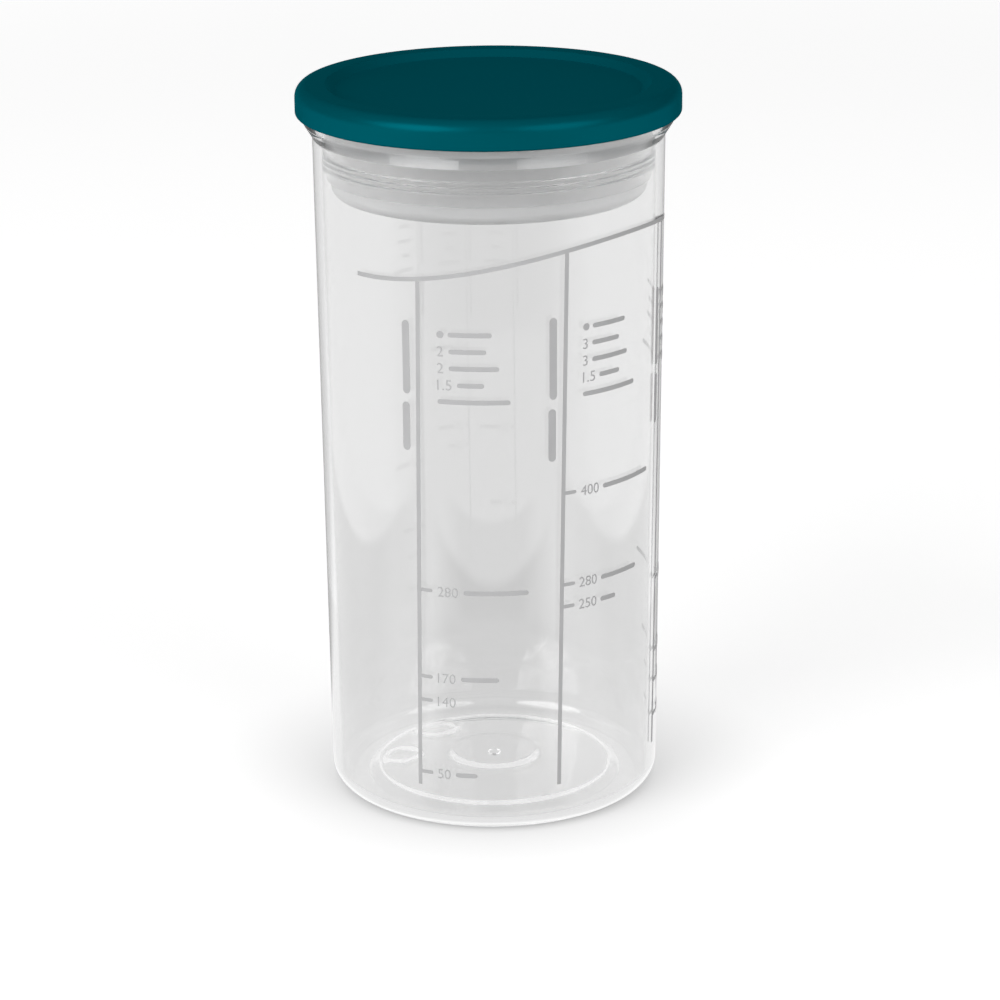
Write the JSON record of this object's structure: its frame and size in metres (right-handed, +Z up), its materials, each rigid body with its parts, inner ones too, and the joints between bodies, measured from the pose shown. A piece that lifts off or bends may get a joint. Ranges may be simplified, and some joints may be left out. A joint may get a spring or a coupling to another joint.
{
  "type": "salad dressing shaker",
  "caption": "Clear tapered plastic cup with a printed filling guide, closed by a push-in lid with a coloured cap, hollow plug and lipped seal.",
  "frame": {"origin": "centre of the foot ring, on the surface the shaker stands on", "axes": "+Z up the axis of the cup towards the lid; -Y is the side that carries the print; +X to the right of it"},
  "size_m": [0.093, 0.093, 0.178],
  "materials": {
    "clear_cup": "clear gloss",
    "teal_cap": "satin",
    "clear_plug": "slightly milky gloss",
    "seal_silicone": "milky satin",
    "grey_ink": "matte print"
  },
  "bodies": {
    "cup": {"cup_body": "clear_cup", "fill_curve": "grey_ink", "scale_left": "grey_ink", "scale_middle": "grey_ink", "scale_right": "grey_ink"},
    "lid": {"lid_cap": "teal_cap", "lid_plug": "clear_plug", "seal_ring": "seal_silicone"}
  },
  "joints": [
    {"name": "lid_lift", "type": "slide", "parent": "cup", "child": "lid", "axis": [0, 0, 1], "range_m": [0, 0.06]}
  ]
}
